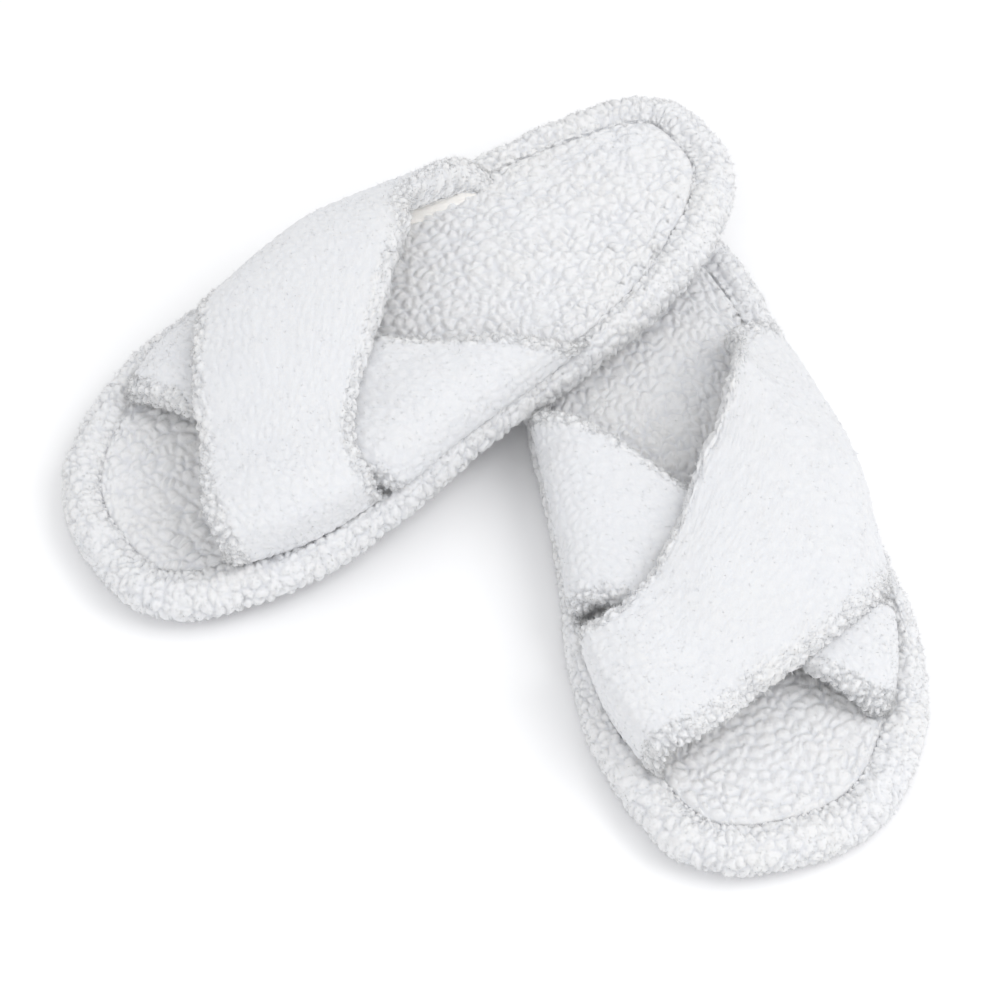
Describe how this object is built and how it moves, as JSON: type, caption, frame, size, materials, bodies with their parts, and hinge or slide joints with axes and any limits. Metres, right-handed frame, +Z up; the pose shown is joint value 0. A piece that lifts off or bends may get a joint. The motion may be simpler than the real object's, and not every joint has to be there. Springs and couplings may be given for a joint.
{
  "type": "spa slippers",
  "caption": "Pair of open-toe sherpa fleece slippers with crossing padded straps; one stands flat, the other leans on its heel.",
  "frame": {"origin": "middle of the flat (left) slipper's outsole, on its lower face, where it rests on the floor", "axes": "+Z up, +Y from the left slipper's heel to its toe, +X to the left foot's inner side"},
  "size_m": [0.2654, 0.2978, 0.0602],
  "materials": {
    "sherpa_fleece": "off-white sherpa fleece with a curly pile",
    "strap_lining": "warm white brushed fleece lining",
    "foam": "soft white EVA or polyurethane foam",
    "insole_board": "pressed fibre board",
    "outsole": "light grey-white moulded sheet, matt",
    "thread": "spun polyester sewing thread"
  },
  "bodies": {
    "left_slipper": {"left_outsole": "outsole", "left_bottom_filler": "foam", "left_platform": "foam", "left_rand_wrap": "sherpa_fleece", "left_insole_board": "insole_board", "left_sock_foam": "foam", "left_sock": "sherpa_fleece", "left_seam_thread": "thread", "left_under_strap_cover": "sherpa_fleece", "left_under_strap_foam": "foam", "left_under_strap_lining": "strap_lining", "left_over_strap_cover": "sherpa_fleece", "left_over_strap_foam": "foam", "left_over_strap_lining": "strap_lining"},
    "right_slipper": {"right_outsole": "outsole", "right_bottom_filler": "foam", "right_platform": "foam", "right_rand_wrap": "sherpa_fleece", "right_insole_board": "insole_board", "right_sock_foam": "foam", "right_sock": "sherpa_fleece", "right_seam_thread": "thread", "right_under_strap_cover": "sherpa_fleece", "right_under_strap_foam": "foam", "right_under_strap_lining": "strap_lining", "right_over_strap_cover": "sherpa_fleece", "right_over_strap_foam": "foam", "right_over_strap_lining": "strap_lining"}
  },
  "joints": [
    {"name": "right_slipper_lift", "type": "slide", "parent": "left_slipper", "child": "right_slipper", "axis": [0, 0, 1], "range_m": [0, 0.15]}
  ]
}
